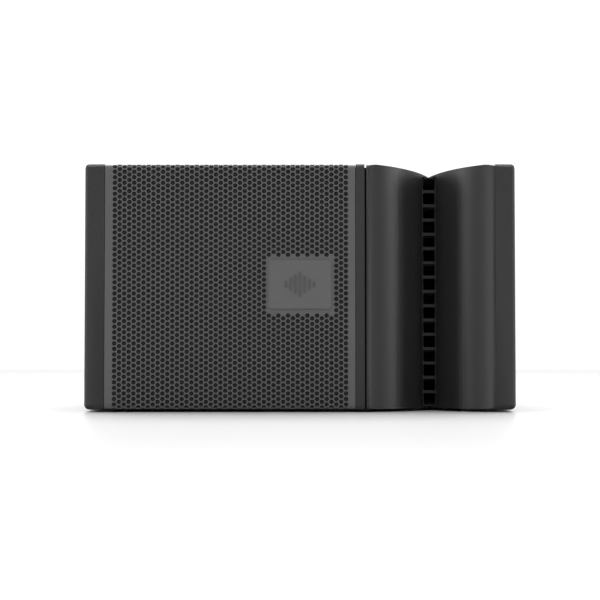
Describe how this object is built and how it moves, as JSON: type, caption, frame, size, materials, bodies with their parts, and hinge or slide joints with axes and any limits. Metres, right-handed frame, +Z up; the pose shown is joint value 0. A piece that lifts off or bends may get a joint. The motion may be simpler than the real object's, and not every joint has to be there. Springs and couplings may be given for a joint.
{
  "type": "line array speaker",
  "caption": "Two-way line array loudspeaker element: wedge cabinet, perforated grille, vertical slot horn and rigging in the end cheeks.",
  "frame": {"origin": "middle of the footprint on the floor, under the feet", "axes": "+X to the horn's side seen from the front, -Y out of the front, +Z up"},
  "size_m": [0.44, 0.3374, 0.2537],
  "materials": {
    "cabinet_paint": "fine textured black paint over plywood",
    "raw_plywood": "unfinished birch plywood",
    "grille_paint": "satin dark grey powder coat",
    "foam": "open-cell foam",
    "badge_paint": "satin",
    "horn_plastic": "fine satin moulding",
    "black_plastic": "moulded",
    "black_steel": "black zinc",
    "bare_steel": "zinc plated",
    "ferrite": "sintered",
    "aluminium": "machined",
    "cast_frame": "die cast, black",
    "rubber": "moulded",
    "cone_paper": "coated paper pulp",
    "copper": "enamelled winding",
    "spider_cloth": "impregnated cloth",
    "circuit_board": "solder mask",
    "components": "wound and cased components"
  },
  "bodies": {
    "cabinet": {"left_cheek": "cabinet_paint", "right_cheek": "cabinet_paint", "lf_top_panel": "cabinet_paint", "lf_bottom_panel": "cabinet_paint", "hf_top_panel": "cabinet_paint", "hf_bottom_panel": "cabinet_paint", "divider_panel": "cabinet_paint", "left_wall": "raw_plywood", "right_wall": "raw_plywood", "rear_panel": "cabinet_paint", "lf_baffle": "raw_plywood", "port_panel": "raw_plywood", "grille": "grille_paint", "grille_foam": "foam", "badge": "badge_paint", "grille_screws": "black_steel", "horn_flare": "horn_plastic", "waveguide_half_left": "black_plastic", "waveguide_half_right": "black_plastic", "hf_adapter": "aluminium", "hf_pole_plate": "bare_steel", "hf_magnet": "ferrite", "hf_top_plate": "bare_steel", "hf_phase_plug": "black_plastic", "hf_rear_cover": "black_plastic", "woofer_basket": "cast_frame", "woofer_gasket": "rubber", "woofer_surround": "rubber", "woofer_spider": "spider_cloth", "woofer_top_plate": "bare_steel", "woofer_magnet": "ferrite", "woofer_yoke": "bare_steel", "woofer_screws": "black_steel", "input_plate": "black_steel", "input_socket": "black_plastic", "link_socket": "black_plastic", "rear_screws": "black_steel", "crossover_board": "circuit_board", "crossover_parts": "components", "handle_cup": "black_plastic", "handle_bar": "rubber", "feet": "rubber", "front_track_left": "black_steel", "front_track_right": "black_steel", "rear_track_left": "black_steel", "rear_track_right": "black_steel", "rigging_screws": "black_steel", "rigging_bolts": "bare_steel"},
    "front_link_left_body": {"front_link_left": "bare_steel"},
    "front_link_right_body": {"front_link_right": "bare_steel"},
    "splay_arm_left_body": {"splay_arm_left": "bare_steel"},
    "splay_arm_right_body": {"splay_arm_right": "bare_steel"},
    "front_pin_left_body": {"front_pin_left": "bare_steel"},
    "front_pin_right_body": {"front_pin_right": "bare_steel"},
    "rear_pin_left_body": {"rear_pin_left": "bare_steel"},
    "rear_pin_right_body": {"rear_pin_right": "bare_steel"},
    "woofer_cone_body": {"woofer_cone": "cone_paper", "woofer_dust_cap": "cone_paper", "woofer_voice_coil": "copper"},
    "hf_diaphragm_body": {"hf_diaphragm": "aluminium"}
  },
  "joints": [
    {"name": "front_link_left_slide", "type": "slide", "parent": "cabinet", "child": "front_link_left_body", "axis": [0, 0.0872, 0.9962], "range_m": [0, 0.058]},
    {"name": "splay_arm_left_swing", "type": "hinge", "parent": "cabinet", "child": "splay_arm_left_body", "pos_m": [-0.209, 0.13309, 0.17532], "axis": [1, 0, 0], "range_deg": [0, 195]},
    {"name": "front_pin_left_pull", "type": "slide", "parent": "cabinet", "child": "front_pin_left_body", "axis": [-1, 0, 0], "range_m": [0, 0.03]},
    {"name": "rear_pin_left_pull", "type": "slide", "parent": "cabinet", "child": "rear_pin_left_body", "axis": [-1, 0, 0], "range_m": [0, 0.03]},
    {"name": "front_link_right_slide", "type": "slide", "parent": "cabinet", "child": "front_link_right_body", "axis": [0, 0.0872, 0.9962], "range_m": [0, 0.058]},
    {"name": "splay_arm_right_swing", "type": "hinge", "parent": "cabinet", "child": "splay_arm_right_body", "pos_m": [0.209, 0.13309, 0.17532], "axis": [1, 0, 0], "range_deg": [0, 195]},
    {"name": "front_pin_right_pull", "type": "slide", "parent": "cabinet", "child": "front_pin_right_body", "axis": [1, 0, 0], "range_m": [0, 0.03]},
    {"name": "rear_pin_right_pull", "type": "slide", "parent": "cabinet", "child": "rear_pin_right_body", "axis": [1, 0, 0], "range_m": [0, 0.03]},
    {"name": "woofer_cone_travel", "type": "slide", "parent": "cabinet", "child": "woofer_cone_body", "axis": [0, -0.9962, 0.0872], "range_m": [-0.004, 0.004], "stiffness_N_per_m": 2500, "deforming": ["woofer_surround", "woofer_spider"]},
    {"name": "hf_diaphragm_travel", "type": "slide", "parent": "cabinet", "child": "hf_diaphragm_body", "axis": [0, -0.9962, 0.0872], "range_m": [-0.0003, 0.0003], "stiffness_N_per_m": 9000}
  ]
}
